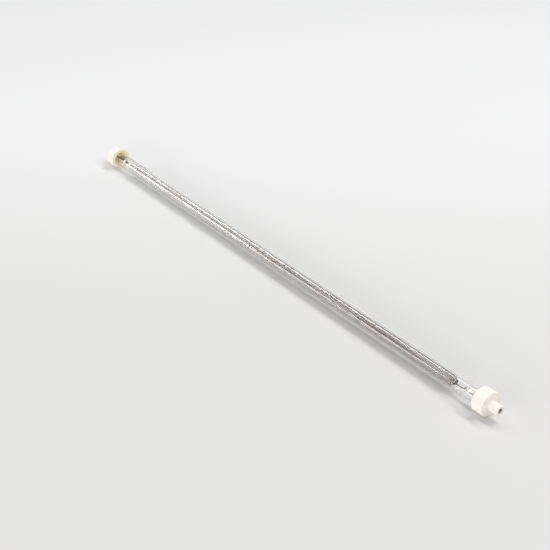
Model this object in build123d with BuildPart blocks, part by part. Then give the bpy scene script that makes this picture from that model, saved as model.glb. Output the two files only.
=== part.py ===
from build123d import *
from math import cos, pi, radians, sin, sqrt, tan
import os

# Quartz heating tube: a coil of resistance wire in a clear quartz tube, with a ceramic cap on each end.
# Millimetres. X runs along the tube, +Z is up, and the origin is the middle of the tube on its axis.
# What is made for the right end is mirrored in the YZ plane for the left end.

# Driving dimensions of the quartz tube
tube_outer = 12.0
tube_inner = 10.0
tube_length = 500.0
tube_edge = 0.25

# Driving dimensions of an end cap
cap_outer = 19.0
cap_length = 10.0
cap_front_round = 0.8
cap_mouth_round = 0.5
socket_bore = 12.4
socket_depth = 7.0
socket_lead_in = 0.4
nipple_outer = 7.8
nipple_length = 8.5
nipple_tip_round = 0.5
nipple_root_round = 0.4
nipple_bore = 4.4
web_bore = 2.4

# Driving dimensions of a terminal
barrel_outer = 4.3
barrel_recess = 0.9
barrel_edge = 0.25
pin_outer = 2.1
pin_length = 12.0
pin_edge = 0.3
thread_bore = 2.5
thread_depth = 6.0
thread_edge = 0.25
drill_point = 118.0

# Driving dimensions of a crimp sleeve
sleeve_outer = 3.0
sleeve_reach = 12.0
sleeve_edge = 0.12
crimp_from_mouth = 3.3
crimp_tool_radius = 2.2
crimp_depth = 1.45

# Driving dimensions of the heating wire
wire_width = 0.6
wire_sides = 3
coil_outer = 8.25
coil_turns = 216
coil_right_end = 216.8
coil_left_end = -219.5
chords_per_turn = 8
taper_turns = 3
taper_length = 4.2
taper_radius = 1.3
lead_drop = 1.77
hump_rise = 0.7
hump_half_width = 1.25
crown_chords = 4
crimped_lead = 5.6

# Worked out from the driving dimensions
socket_floor = tube_length / 2
cap_mouth = socket_floor - socket_depth
cap_front = cap_mouth + cap_length
nipple_tip = cap_front + nipple_length
barrel_front = nipple_tip - barrel_recess
pin_tip = cap_front - pin_length
sleeve_mouth = cap_mouth - sleeve_reach
wire_corner = wire_width / sqrt(wire_sides)
coil_radius = coil_outer / 2 - wire_corner / cos(pi / chords_per_turn)
coil_axis_height = (coil_outer - tube_inner) / 2
coil_pitch = (coil_right_end - coil_left_end) / coil_turns
crimped_height = wire_corner - pin_outer / 2


def half_section(outline):
    """The face between these (x, radius) points, to be turned about the tube's axis."""
    with BuildSketch(Plane.XY) as section:
        with BuildLine():
            Polyline(*outline, close=True)
        make_face()
    return section.sketch


def rims(piece, x, diameter):
    """The circular edges of a piece that lie at x and have this diameter."""
    circles = piece.part.edges().filter_by(GeomType.CIRCLE)
    return circles.filter_by(lambda e: abs(e.arc_center.X - x) < 1e-3 and abs(2 * e.radius - diameter) < 1e-3)


def mirrored(piece):
    """The same piece for the left end."""
    return mirror(piece.part, about=Plane.YZ, mode=Mode.PRIVATE)


# Quartz tube: cut square, with the sharp edges taken off
with BuildPart() as quartz_tube:
    with BuildSketch(Plane.YZ.offset(-tube_length / 2)):
        Circle(tube_outer / 2)
        Circle(tube_inner / 2, mode=Mode.SUBTRACT)
    extrude(amount=tube_length)
    chamfer(quartz_tube.edges().filter_by(GeomType.CIRCLE), tube_edge)

# End caps: a socket for the tube, a web that the terminal's pin goes through, and a bored nipple
cap_outline = [
    (cap_mouth, socket_bore / 2),
    (cap_mouth, cap_outer / 2),
    (cap_front, cap_outer / 2),
    (cap_front, nipple_outer / 2),
    (nipple_tip, nipple_outer / 2),
    (nipple_tip, nipple_bore / 2),
    (cap_front, nipple_bore / 2),
    (cap_front, web_bore / 2),
    (socket_floor, web_bore / 2),
    (socket_floor, socket_bore / 2),
]

with BuildPart() as right_end_cap:
    revolve(half_section(cap_outline), axis=Axis.X)
    fillet(rims(right_end_cap, cap_front, cap_outer), cap_front_round)
    fillet(rims(right_end_cap, cap_mouth, cap_outer), cap_mouth_round)
    fillet(rims(right_end_cap, nipple_tip, nipple_outer), nipple_tip_round)
    fillet(rims(right_end_cap, cap_front, nipple_outer), nipple_root_round)
    chamfer(rims(right_end_cap, cap_mouth, socket_bore), socket_lead_in)

with BuildPart() as left_end_cap:
    add(mirrored(right_end_cap))

# Terminals: turned in one piece, with a tapped barrel that seats on the web, and a pin through it
drill_cone = thread_bore / 2 / tan(radians(drill_point / 2))
terminal_outline = [
    (pin_tip, 0),
    (pin_tip, pin_outer / 2),
    (cap_front, pin_outer / 2),
    (cap_front, barrel_outer / 2),
    (barrel_front, barrel_outer / 2),
    (barrel_front, thread_bore / 2),
    (barrel_front - thread_depth, thread_bore / 2),
    (barrel_front - thread_depth - drill_cone, 0),
]

with BuildPart() as right_terminal:
    revolve(half_section(terminal_outline), axis=Axis.X)
    chamfer(rims(right_terminal, pin_tip, pin_outer), pin_edge)
    chamfer(rims(right_terminal, barrel_front, barrel_outer), barrel_edge)
    chamfer(rims(right_terminal, barrel_front, thread_bore), thread_edge)

with BuildPart() as left_terminal:
    add(mirrored(right_terminal))


# Crimp sleeves: from the web's inner face over the pin, with the wall pressed down onto the wire near the mouth
sleeve_wall = (sleeve_outer - pin_outer) / 2
tool_height = sleeve_outer / 2 - crimp_depth + crimp_tool_radius
tool_plane = Plane.XZ.offset(-sleeve_outer)

with BuildPart() as sleeve_bore:
    with BuildSketch(Plane.YZ.offset(sleeve_mouth)):
        Circle(pin_outer / 2)
    extrude(amount=socket_floor - sleeve_mouth)
    with BuildSketch(tool_plane):
        with Locations((sleeve_mouth + crimp_from_mouth, tool_height)):
            Circle(crimp_tool_radius + sleeve_wall)
    extrude(amount=2 * sleeve_outer, mode=Mode.SUBTRACT)

with BuildPart() as right_crimp_sleeve:
    with BuildSketch(Plane.YZ.offset(sleeve_mouth)):
        Circle(sleeve_outer / 2)
    extrude(amount=socket_floor - sleeve_mouth)
    chamfer(right_crimp_sleeve.edges().filter_by(GeomType.CIRCLE), sleeve_edge)
    with BuildSketch(tool_plane):
        with Locations((sleeve_mouth + crimp_from_mouth, tool_height)):
            Circle(crimp_tool_radius)
    extrude(amount=2 * sleeve_outer, mode=Mode.SUBTRACT)
    add(sleeve_bore.part, mode=Mode.SUBTRACT)

with BuildPart() as left_crimp_sleeve:
    add(mirrored(right_crimp_sleeve))


def coil_point(turn):
    """A point of the winding: full turns between two tapered ends, each of which closes in on its lead."""
    whole = coil_turns + 2 * taper_turns
    into_taper = max(taper_turns - turn, turn - (whole - taper_turns), 0) / taper_turns
    radius = coil_radius + (taper_radius - coil_radius) * into_taper
    axis_height = coil_axis_height + (taper_radius - lead_drop - coil_axis_height) * into_taper
    main_turn = min(max(turn - taper_turns, 0), coil_turns)
    taper_turn = turn - taper_turns - main_turn
    x = coil_left_end + coil_pitch * main_turn + taper_length / taper_turns * taper_turn
    angle = 2 * pi * turn
    return (x, radius * sin(angle), axis_height - radius * cos(angle))


def lead_points(side):
    """The lead at one end, from the hump in front of the sleeve's mouth to its end in the sleeve."""
    mouth = side * sleeve_mouth
    hump_x = mouth - side * hump_half_width
    crown = hump_half_width / 2
    points = [(hump_x - side * hump_half_width, 0, -lead_drop)]
    for step in range(crown_chords + 1):
        angle = pi * step / crown_chords
        points.append((hump_x - side * crown * cos(angle), 0, hump_rise - crown + crown * sin(angle)))
    points.append((mouth, 0, crimped_height))
    points.append((mouth + side * crimped_lead, 0, crimped_height))
    return points


# Heating coil: one wire from sleeve to sleeve, wound in short straight chords
all_turns = coil_turns + 2 * taper_turns
chords = all_turns * chords_per_turn
wire_route = lead_points(-1)[::-1]
wire_route += [coil_point(chord / chords_per_turn) for chord in range(chords + 1)]
wire_route += lead_points(1)

with BuildPart() as heating_coil:
    with BuildLine() as wire_line:
        Polyline(*wire_route)
    with BuildSketch(Plane.YZ.offset(wire_route[0][0])):
        with Locations((0, crimped_height)):
            RegularPolygon(wire_corner, wire_sides, rotation=-90)
    sweep(path=wire_line.wire(), transition=Transition.RIGHT)

# Each piece in its own file
os.makedirs("parts", exist_ok=True)
pieces = {
    "quartz_tube": quartz_tube,
    "right_end_cap": right_end_cap,
    "left_end_cap": left_end_cap,
    "right_terminal": right_terminal,
    "left_terminal": left_terminal,
    "right_crimp_sleeve": right_crimp_sleeve,
    "left_crimp_sleeve": left_crimp_sleeve,
    "heating_coil": heating_coil,
}
for name, piece in pieces.items():
    piece.part.label = name
    export_step(piece.part, f"parts/{name}.step")
    size = piece.part.bounding_box().size
    print(f"{name}: {piece.part.volume:.1f} mm3, {size.X:.2f} x {size.Y:.2f} x {size.Z:.2f} mm")
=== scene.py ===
"""The looks of the quartz heating tube: a clear tube with a fine coil in it and ceramic caps on its ends."""
from math import cos, pi, radians, sin

import bpy
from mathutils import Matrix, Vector


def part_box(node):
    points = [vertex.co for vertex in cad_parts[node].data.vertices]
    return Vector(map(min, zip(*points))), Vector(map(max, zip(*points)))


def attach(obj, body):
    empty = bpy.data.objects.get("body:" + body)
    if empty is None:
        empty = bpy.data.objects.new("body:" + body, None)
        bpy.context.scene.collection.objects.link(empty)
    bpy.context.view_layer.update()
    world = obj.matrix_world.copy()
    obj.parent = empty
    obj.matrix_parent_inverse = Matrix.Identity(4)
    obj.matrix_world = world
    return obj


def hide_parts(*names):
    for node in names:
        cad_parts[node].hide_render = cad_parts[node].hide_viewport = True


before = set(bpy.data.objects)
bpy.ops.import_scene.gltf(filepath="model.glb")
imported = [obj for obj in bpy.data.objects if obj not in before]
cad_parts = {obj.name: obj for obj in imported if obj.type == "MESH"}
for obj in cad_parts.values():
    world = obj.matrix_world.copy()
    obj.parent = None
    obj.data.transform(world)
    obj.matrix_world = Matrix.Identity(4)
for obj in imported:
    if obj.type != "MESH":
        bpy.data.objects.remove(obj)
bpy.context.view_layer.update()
MM = 0.001

# Sizes that the frame holds
TUBE_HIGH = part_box("quartz_tube")[1]
TUBE_RADIUS = TUBE_HIGH.y
TUBE_END = TUBE_HIGH.x
CAP_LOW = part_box("right_end_cap")[0]
CAP_MOUTH = CAP_LOW.x
FLOOR_HEIGHT = CAP_LOW.z
COIL_LOW, COIL_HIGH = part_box("heating_coil")
COIL_RADIUS = (COIL_HIGH.z - COIL_LOW.z) / 2
COIL_AXIS = (COIL_HIGH.z + COIL_LOW.z) / 2
RIGHT_SLEEVE_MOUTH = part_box("right_crimp_sleeve")[0].x
LEFT_SLEEVE_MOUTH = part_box("left_crimp_sleeve")[1].x

# Sizes of the tube's wall, the cap's socket and the wire
TUBE_WALL = 1.0 * MM
TUBE_RIM = 0.25 * MM
SOCKET_RADIUS = 6.2 * MM
SOCKET_DEPTH = 7.0 * MM
WIRE_RADIUS = 0.36 * MM
COIL_TURNS = 315
COIL_LEFT_END = -219.5 * MM
COIL_RIGHT_END = 216.8 * MM
TAPER_TURNS = 3
TAPER_LENGTH = 4.2 * MM
TAPER_RADIUS = 1.3 * MM
LEAD_HEIGHT = -1.77 * MM
HUMP_HEIGHT = 0.7 * MM
HUMP_HALF_WIDTH = 1.25 * MM
CRIMPED_LEAD = 5.6 * MM
CRIMPED_HEIGHT = -0.68 * MM

# How finely the round pieces are divided
TUBE_SIDES = 96
TUBE_STATIONS = 60
RIM_STEPS = 5
WIRE_SIDES = 8
POINTS_PER_TURN = 24
CROWN_STEPS = 8
LEAD_SOFTENING = 2

# The camera, as fitted to the photograph
LENS = 70.32
SENSOR = 36.0
CAMERA_HEIGHT = 456.4 * MM
CAMERA_BACK = 780.1 * MM
CAMERA_ASIDE = -6.3 * MM
CAMERA_PITCH = radians(30.81)
TUBE_TURN = radians(37.0)

# The stage
FLOOR_REACH = 4.0
ROOM_LIGHT = 0.36


def link(piece):
    bpy.context.scene.collection.objects.link(piece)
    return piece


def mesh_object(name, points, faces, smooth=True):
    """A new mesh piece, linked to the scene."""
    mesh = bpy.data.meshes.new(name)
    mesh.from_pydata(points, [], faces)
    mesh.validate()
    if smooth:
        mesh.shade_smooth()
    return link(bpy.data.objects.new(name, mesh))


# Materials

class Nodes:
    """A new material's node tree, with short ways to add and join nodes."""

    def __init__(self, name):
        self.material = bpy.data.materials.new(name)
        self.material.use_nodes = True
        self.tree = self.material.node_tree
        self.shader = self.tree.nodes["Principled BSDF"]
        self.output = self.tree.nodes["Material Output"]

    def add(self, kind, inputs=None, **settings):
        node = self.tree.nodes.new(kind)
        for key, value in settings.items():
            setattr(node, key, value)
        for key, value in (inputs or {}).items():
            self.put(node, key, value)
        return node

    def put(self, node, key, value):
        if isinstance(value, bpy.types.NodeSocket):
            self.tree.links.new(value, node.inputs[key])
        else:
            node.inputs[key].default_value = value

    def math(self, operation, a, b=0.0):
        node = self.add("ShaderNodeMath", operation=operation)
        self.put(node, 0, a)
        self.put(node, 1, b)
        return node.outputs[0]

    def place(self, scale=(1.0, 1.0, 1.0)):
        """Places on the piece in metres, stretched by scale."""
        coordinates = self.add("ShaderNodeTexCoord")
        mapping = self.add("ShaderNodeMapping", {"Vector": coordinates.outputs["Object"], "Scale": scale})
        return mapping.outputs[0]

    def axes(self):
        """The X, Y and Z of places on the piece, in metres."""
        return self.add("ShaderNodeSeparateXYZ", {"Vector": self.place()}).outputs

    def noise(self, scale, detail=4.0, roughness=0.6, stretch=(1.0, 1.0, 1.0)):
        inputs = {"Vector": self.place(stretch), "Scale": scale, "Detail": detail, "Roughness": roughness}
        return self.add("ShaderNodeTexNoise", inputs).outputs["Fac"]

    def ramp(self, factor, *stops):
        """A colour ramp through two (place, colour) stops."""
        node = self.add("ShaderNodeValToRGB", {"Fac": factor})
        for element, (place, colour) in zip(node.color_ramp.elements, stops):
            element.position = place
            element.color = (*colour, 1.0)
        return node.outputs["Color"]

    def spread(self, value, low, high):
        """0 where value is low, 1 where it is high, with a smooth step between."""
        inputs = {"Value": value, "From Min": low, "From Max": high}
        return self.add("ShaderNodeMapRange", inputs, interpolation_type="SMOOTHSTEP").outputs["Result"]

    def mix(self, factor, a, b):
        node = self.add("ShaderNodeMix", data_type="RGBA")
        self.put(node, 0, factor)
        self.put(node, 6, (*a, 1.0) if isinstance(a, tuple) else a)
        self.put(node, 7, (*b, 1.0) if isinstance(b, tuple) else b)
        return node.outputs[2]

    def bump(self, height, strength, distance):
        inputs = {"Height": height, "Strength": strength, "Distance": distance}
        return self.add("ShaderNodeBump", inputs).outputs[0]

    def set(self, **inputs):
        """Sets the shader's inputs, written with _ for a space."""
        for key, value in inputs.items():
            socket = key.replace("_", " ")
            self.put(self.shader, socket, (*value, 1.0) if isinstance(value, tuple) else value)
        return self.material


def give(node, material):
    """A CAD node's own mesh gets this material."""
    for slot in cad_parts[node].material_slots:
        slot.material = material


def steatite():
    """Cream pressed ceramic, unglazed, and painted yellower where it faces the tube: a painted glow of light
    through the glass and the thin ceramic.
    """
    m = Nodes("steatite")
    x, y, z = m.axes()
    along = m.math("ABSOLUTE", x)
    across = m.math("SQRT", m.math("ADD", m.math("POWER", y, 2.0), m.math("POWER", z, 2.0)))
    socket_floor = CAP_MOUTH + SOCKET_DEPTH
    mouth = m.spread(along, CAP_MOUTH + 0.7 * MM, CAP_MOUTH + 0.1 * MM)
    in_socket = m.math("MULTIPLY", m.spread(across, SOCKET_RADIUS + 0.5 * MM, SOCKET_RADIUS + 0.1 * MM),
                       m.spread(along, socket_floor + 0.4 * MM, socket_floor + 0.1 * MM))
    # Painted glow: the mouth face and the socket are coloured warm yellow for light that shines in through
    # the glass and the ceramic and bounces in the socket.
    painted_glow_mask = m.math("MAXIMUM", mouth, in_socket)
    mottle = m.noise(420.0, 5.0)
    cream = m.ramp(mottle, (0.3, (0.955, 0.895, 0.825)), (0.7, (0.975, 0.925, 0.86)))
    painted_glow_colour = m.ramp(mottle, (0.3, (0.975, 0.84, 0.57)), (0.7, (0.985, 0.88, 0.64)))
    specks = m.spread(m.noise(2600.0, 2.0, 0.5), 0.70, 0.78)
    colour = m.mix(painted_glow_mask, cream, painted_glow_colour)
    colour = m.mix(m.math("MULTIPLY", specks, 0.22), colour, (0.45, 0.37, 0.28))
    grain = m.math("ADD", m.noise(2400.0, 3.0), m.math("MULTIPLY", mottle, 0.6))
    rough = m.math("ADD", m.math("MULTIPLY", mottle, 0.2), 0.42)
    return m.set(Base_Color=colour, Roughness=rough, Normal=m.bump(grain, 0.25, 0.05 * MM), IOR=1.5)


def quartz():
    """Clear fused quartz, with faint lines along it from drawing."""
    m = Nodes("quartz")
    lines = m.noise(900.0, 2.0, 0.5, (0.01, 1.0, 1.0))
    glass = m.set(Base_Color=(1.0, 1.0, 1.0), Transmission_Weight=1.0, Roughness=0.0, IOR=1.458,
                  Normal=m.bump(lines, 0.01, 0.02 * MM))
    # Lamps reach what is behind the wall. Some light is lost where it meets the wall at a slant, but not near
    # the caps, where the light that runs along in the wall comes out again.
    path = m.add("ShaderNodeLightPath").outputs
    slant = m.math("POWER", m.add("ShaderNodeLayerWeight", {"Blend": 0.5}).outputs["Facing"], 3.0)
    along = m.math("ABSOLUTE", m.axes()[0])
    lost = m.math("MULTIPLY", slant, m.spread(along, CAP_MOUTH, CAP_MOUTH - 20.0 * MM))
    passed = m.mix(lost, (0.98, 0.98, 0.98), (0.54, 0.54, 0.54))
    clear = m.add("ShaderNodeBsdfTransparent", {"Color": passed}).outputs[0]
    lit_through = m.math("MAXIMUM", path["Is Shadow Ray"], path["Is Diffuse Ray"])
    both = m.add("ShaderNodeMixShader", {0: lit_through, 1: m.shader.outputs[0], 2: clear}).outputs[0]
    m.tree.links.new(both, m.output.inputs["Surface"])
    return glass


def resistance_wire():
    """Nickel-chromium wire, painted lighter at the left end and browner to the right as painted light along
    the coil, with dark oxidised leads.
    """
    m = Nodes("resistance_wire")
    along = m.axes()[0]
    patches = m.noise(160.0)
    painted_lighter_left = m.ramp(patches, (0.3, (0.76, 0.73, 0.71)), (0.7, (0.85, 0.83, 0.81)))
    painted_darker_right = m.ramp(patches, (0.3, (0.46, 0.43, 0.41)), (0.7, (0.60, 0.56, 0.54)))
    # Painted light: the winding runs from a lighter colour at the left end to a darker one at the right end,
    # for how much light reaches it along the tube.
    wound = m.mix(m.spread(along, COIL_LOW.x, COIL_HIGH.x), painted_lighter_left, painted_darker_right)
    right_lead = m.spread(along, COIL_RIGHT_END - 3.0 * MM, COIL_RIGHT_END + 3.0 * MM)
    left_hump = m.spread(along, LEFT_SLEEVE_MOUTH + 4.0 * MM, LEFT_SLEEVE_MOUTH + 2.0 * MM)
    colour = m.mix(m.math("MAXIMUM", right_lead, left_hump), wound, (0.20, 0.18, 0.165))
    fine = m.noise(3000.0, 3.0)
    rough = m.math("ADD", m.math("MULTIPLY", fine, 0.08), 0.12)
    return m.set(Base_Color=colour, Metallic=1.0, Roughness=rough, Normal=m.bump(fine, 0.05, 0.02 * MM))


def sleeve_metal(name, mouth, outwards, at_mouth, at_cap):
    """Nickel-plated sleeve, darkened by heat tarnish towards the cap's mouth and straw-coloured inside the
    cap; the left sleeve's darker colours add painted shade.
    """
    m = Nodes(name)
    depth = m.math("MULTIPLY", m.math("SUBTRACT", m.axes()[0], mouth), outwards)
    uneven = m.math("MULTIPLY", m.math("SUBTRACT", m.noise(500.0, roughness=0.55), 0.5), 2.5 * MM)
    place = m.math("ADD", depth, uneven)
    # Heat tarnish towards the cap; with the left sleeve's darker colours it is painted shade as well.
    tarnish_and_shade = m.mix(m.spread(place, 1.0 * MM, 8.0 * MM), at_mouth, at_cap)
    colour = m.mix(m.spread(place, 13.0 * MM, 15.5 * MM), tarnish_and_shade, (0.95, 0.84, 0.64))
    fine = m.noise(2500.0, 3.0, stretch=(0.2, 1.0, 1.0))
    rough = m.math("ADD", m.math("MULTIPLY", fine, 0.2), 0.28)
    return m.set(Base_Color=colour, Metallic=1.0, Roughness=rough, Normal=m.bump(fine, 0.15, 0.02 * MM))


def terminal_metal():
    """Plated turned metal, browned by heat and painted darker for the shade down the nipple's hole, with fine
    turning marks round its axis.
    """
    m = Nodes("terminal_metal")
    stain_and_shade = m.noise(700.0)
    marks = m.noise(6000.0, 2.0, 0.5, (1.0, 0.05, 0.05))
    # Painted shade: the brown is kept very dark for the shade inside the nipple's hole where the terminal
    # sits.
    colour = m.ramp(stain_and_shade, (0.35, (0.20, 0.16, 0.12)), (0.7, (0.36, 0.31, 0.25)))
    return m.set(Base_Color=colour, Metallic=1.0, Roughness=0.34, Normal=m.bump(marks, 0.2, 0.02 * MM))


def floor_finish():
    """Pale matt paper, painted a little lighter around the tube's far end: painted light."""
    m = Nodes("floor")
    x, y, _ = m.axes()
    away = m.math("ADD", m.math("MULTIPLY", x, -cos(TUBE_TURN)), m.math("MULTIPLY", y, sin(TUBE_TURN)))
    # Painted light: the floor's colour gets lighter around the tube's far end, for the light's fall-off
    # across the floor.
    near = m.mix(m.spread(away, -0.1, 0.28), (0.764, 0.760, 0.755), (0.824, 0.832, 0.826))
    colour = m.mix(m.spread(away, 0.28, 0.8), near, (0.785, 0.793, 0.787))
    return m.set(Base_Color=colour, Roughness=0.9, Specular_IOR_Level=0.15)


# Pieces

def quarter_round(x, radius, start):
    """A quarter of a rim's rounding about the point (x, radius), from a starting angle."""
    points = []
    for step in range(RIM_STEPS + 1):
        angle = start - pi / 2 * step / RIM_STEPS
        points.append((x + TUBE_RIM * cos(angle), radius + TUBE_RIM * sin(angle)))
    return points


def straight_run(start, end, radius):
    """The points between two rims, along the tube."""
    return [(start + (end - start) * step / TUBE_STATIONS, radius) for step in range(1, TUBE_STATIONS)]


def glass_tube():
    """The tube with a round wall and fire-polished rims, in place of the node's flat facets."""
    inner = TUBE_RADIUS - TUBE_WALL
    rim_x = TUBE_END - TUBE_RIM
    outline = quarter_round(rim_x, TUBE_RADIUS - TUBE_RIM, pi / 2)
    outline += quarter_round(rim_x, inner + TUBE_RIM, 0.0)
    outline += straight_run(rim_x, -rim_x, inner)
    outline += quarter_round(-rim_x, inner + TUBE_RIM, -pi / 2)
    outline += quarter_round(-rim_x, TUBE_RADIUS - TUBE_RIM, pi)
    outline += straight_run(-rim_x, rim_x, TUBE_RADIUS)
    return turned("clear_tube", outline)


def turned(name, outline):
    """A closed outline of (x, radius) points turned about the tube's axis."""
    points = []
    for x, radius in outline:
        for step in range(TUBE_SIDES):
            angle = 2 * pi * step / TUBE_SIDES
            points.append((x, radius * cos(angle), radius * sin(angle)))
    faces = []
    for ring in range(len(outline)):
        here = ring * TUBE_SIDES
        following = (ring + 1) % len(outline) * TUBE_SIDES
        for step in range(TUBE_SIDES):
            beside = (step + 1) % TUBE_SIDES
            faces.append((here + step, here + beside, following + beside, following + step))
    return mesh_object(name, points, faces)


def coil_point(turn):
    """A point of the winding: full turns between two tapered ends, each of which closes in on its lead."""
    whole = COIL_TURNS + 2 * TAPER_TURNS
    wound = COIL_RADIUS - WIRE_RADIUS
    into_taper = max(TAPER_TURNS - turn, turn - (whole - TAPER_TURNS), 0) / TAPER_TURNS
    radius = wound + (TAPER_RADIUS - wound) * into_taper
    height = COIL_AXIS + (TAPER_RADIUS + LEAD_HEIGHT - COIL_AXIS) * into_taper
    main_turn = min(max(turn - TAPER_TURNS, 0), COIL_TURNS)
    taper_turn = turn - TAPER_TURNS - main_turn
    pitch = (COIL_RIGHT_END - COIL_LEFT_END) / COIL_TURNS
    x = COIL_LEFT_END + pitch * main_turn + TAPER_LENGTH / TAPER_TURNS * taper_turn
    angle = 2 * pi * turn
    return Vector((x, radius * sin(angle), height - radius * cos(angle)))


def lead_points(side, mouth):
    """The lead at one end, from the hump in front of the sleeve's mouth to its end in the sleeve."""
    hump_x = mouth - side * HUMP_HALF_WIDTH
    crown = HUMP_HALF_WIDTH / 2
    points = [Vector((hump_x - side * HUMP_HALF_WIDTH, 0, LEAD_HEIGHT))]
    for step in range(CROWN_STEPS + 1):
        angle = pi * step / CROWN_STEPS
        height = HUMP_HEIGHT - crown + crown * sin(angle)
        points.append(Vector((hump_x - side * crown * cos(angle), 0, height)))
    points.append(Vector((mouth, 0, CRIMPED_HEIGHT)))
    points.append(Vector((mouth + side * CRIMPED_LEAD, 0, CRIMPED_HEIGHT)))
    return points


def softened(points):
    """The same route with its corners cut, pass by pass."""
    for _ in range(LEAD_SOFTENING):
        cut = [points[0]]
        for a, b in zip(points, points[1:]):
            cut.append(a.lerp(b, 0.25))
            cut.append(a.lerp(b, 0.75))
        cut.append(points[-1])
        points = cut
    return points


def round_wire(name, route):
    """A round wire along a route, its rings carried from point to point without twist."""
    points = []
    across = Vector((0.0, 0.0, 1.0))
    for place, point in enumerate(route):
        before = route[max(place - 1, 0)]
        after = route[min(place + 1, len(route) - 1)]
        ahead = (after - before).normalized()
        across = (across - ahead * across.dot(ahead)).normalized()
        beside = ahead.cross(across)
        for side in range(WIRE_SIDES):
            angle = 2 * pi * side / WIRE_SIDES
            points.append(point + WIRE_RADIUS * (across * cos(angle) + beside * sin(angle)))
    faces = []
    for ring in range(len(route) - 1):
        here = ring * WIRE_SIDES
        following = here + WIRE_SIDES
        for side in range(WIRE_SIDES):
            beside = (side + 1) % WIRE_SIDES
            faces.append((here + side, following + side, following + beside, here + beside))
    faces.append(tuple(range(WIRE_SIDES)))
    faces.append(tuple(range(len(points) - 1, len(points) - 1 - WIRE_SIDES, -1)))
    return mesh_object(name, points, faces)


def heating_coil():
    """The whole winding of round wire with its leads."""
    whole = COIL_TURNS + 2 * TAPER_TURNS
    left = softened(lead_points(-1, LEFT_SLEEVE_MOUTH)[::-1] + [coil_point(0)])
    right = softened([coil_point(whole)] + lead_points(1, RIGHT_SLEEVE_MOUTH))
    winding = [coil_point(step / POINTS_PER_TURN) for step in range(1, whole * POINTS_PER_TURN)]
    return round_wire("wound_wire", left + winding + right)


# Stage and light

def stage():
    """A large pale floor under the caps."""
    corners = [(-FLOOR_REACH, -FLOOR_REACH, FLOOR_HEIGHT), (FLOOR_REACH, -FLOOR_REACH, FLOOR_HEIGHT),
               (FLOOR_REACH, FLOOR_REACH, FLOOR_HEIGHT), (-FLOOR_REACH, FLOOR_REACH, FLOOR_HEIGHT)]
    floor = mesh_object("floor", corners, [(0, 1, 2, 3)], smooth=False)
    floor.data.materials.append(floor_finish())


def lamp(name, place, size, power, target=(0.0, 0.0, 0.0)):
    """A rectangular lamp that faces its target."""
    data = bpy.data.lights.new(name, "AREA")
    data.shape = "RECTANGLE"
    data.size, data.size_y = size
    data.energy = power
    piece = link(bpy.data.objects.new(name, data))
    piece.location = place
    piece.rotation_euler = (Vector(target) - Vector(place)).to_track_quat("-Z", "Y").to_euler()


def lights():
    """A long softbox above, low lamps in front and at the back, a strip overhead, and a dim white room."""
    world = bpy.data.worlds.new("studio")
    bpy.context.scene.world = world
    world.use_nodes = True
    background = world.node_tree.nodes["Background"]
    background.inputs["Color"].default_value = (1.0, 1.0, 1.0, 1.0)
    background.inputs["Strength"].default_value = ROOM_LIGHT
    lamp("key", (0.8, 1.15, 2.08), (3.8, 0.55), 45.0, (0.8, 0.0, 0.0))
    lamp("front", (0.4, -2.1, 0.56), (2.8, 0.6), 25.0)
    lamp("front_left", (-1.9, -1.3, 0.52), (0.7, 0.5), 5.0)
    lamp("strip", (-1.4, 0.0, 1.75), (1.5, 0.3), 7.5, (-1.4, 0.0, 0.0))
    lamp("back", (-0.7, 2.2, 0.32), (3.5, 0.6), 4.0)


def camera():
    """The photograph's view: right and ahead are the camera's own directions along the floor."""
    right = Vector((sin(TUBE_TURN), cos(TUBE_TURN), 0.0))
    ahead = Vector((-cos(TUBE_TURN), sin(TUBE_TURN), 0.0))
    up = Vector((0.0, 0.0, 1.0))
    data = bpy.data.cameras.new("camera")
    data.sensor_width = SENSOR
    data.lens = LENS
    piece = link(bpy.data.objects.new("camera", data))
    piece.location = -right * CAMERA_ASIDE - ahead * CAMERA_BACK + up * (CAMERA_HEIGHT + FLOOR_HEIGHT)
    view = ahead * cos(CAMERA_PITCH) - up * sin(CAMERA_PITCH)
    piece.rotation_euler = view.to_track_quat("-Z", "Y").to_euler()
    bpy.context.scene.camera = piece


bpy.context.scene.view_settings.view_transform = "Standard"
camera()
lights()
stage()

ceramic = steatite()
turned_metal = terminal_metal()
for side in ("right", "left"):
    give(f"{side}_end_cap", ceramic)
    give(f"{side}_terminal", turned_metal)
give("right_crimp_sleeve", sleeve_metal("right_sleeve_metal", RIGHT_SLEEVE_MOUTH, 1.0,
                                        (0.72, 0.70, 0.68), (0.60, 0.54, 0.48)))
# Painted shade: the left sleeve gets much darker colours than the right one, for the shade it lies in at the
# far socket.
give("left_crimp_sleeve", sleeve_metal("left_sleeve_painted_shade", LEFT_SLEEVE_MOUTH, -1.0,
                                       (0.30, 0.25, 0.23), (0.18, 0.12, 0.08)))

tube = glass_tube()
tube.data.materials.append(quartz())
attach(tube, "root")
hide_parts("quartz_tube")

coil = heating_coil()
coil.data.materials.append(resistance_wire())
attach(coil, "root")
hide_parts("heating_coil")
